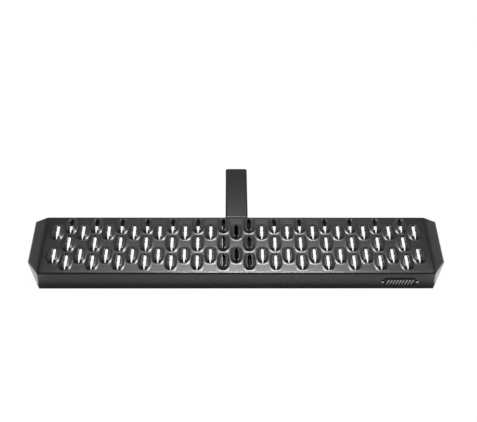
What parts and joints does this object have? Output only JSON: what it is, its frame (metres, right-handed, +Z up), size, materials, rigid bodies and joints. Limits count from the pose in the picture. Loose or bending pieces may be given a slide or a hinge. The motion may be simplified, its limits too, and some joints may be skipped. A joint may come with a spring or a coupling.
{
  "type": "hitch receiver step",
  "caption": "Step for a square hitch receiver: a wide folded steel tread with raised, toothed slots, welded to a square tube shank with a cross pin hole.",
  "frame": {"origin": "middle of the hitch pin hole, on the shank's centre line", "axes": "+X along the tread to the right and along the pin hole, +Y forward along the shank into the receiver, +Z up from the tread's standing surface"},
  "size_m": [0.9176, 0.3542, 0.0635],
  "materials": {
    "tread": "satin black powder coat",
    "shank": "textured black powder coat",
    "channel": "satin black powder coat",
    "badge": "black plate with bare raised bars",
    "rivets": "satin",
    "weld": "coated weld bead"
  },
  "bodies": {
    "root": {"tread_plate": "tread", "hitch_shank": "shank", "support_channel": "channel", "badge_plate": "badge", "badge_rivets": "rivets", "shank_top_weld": "weld", "shank_side_weld_left": "weld", "shank_side_weld_right": "weld", "channel_front_weld_left": "weld", "channel_front_weld_right": "weld", "channel_rear_weld_left": "weld", "channel_rear_weld_right": "weld", "channel_heel_weld_left": "weld", "channel_heel_weld_right": "weld"}
  },
  "joints": []
}
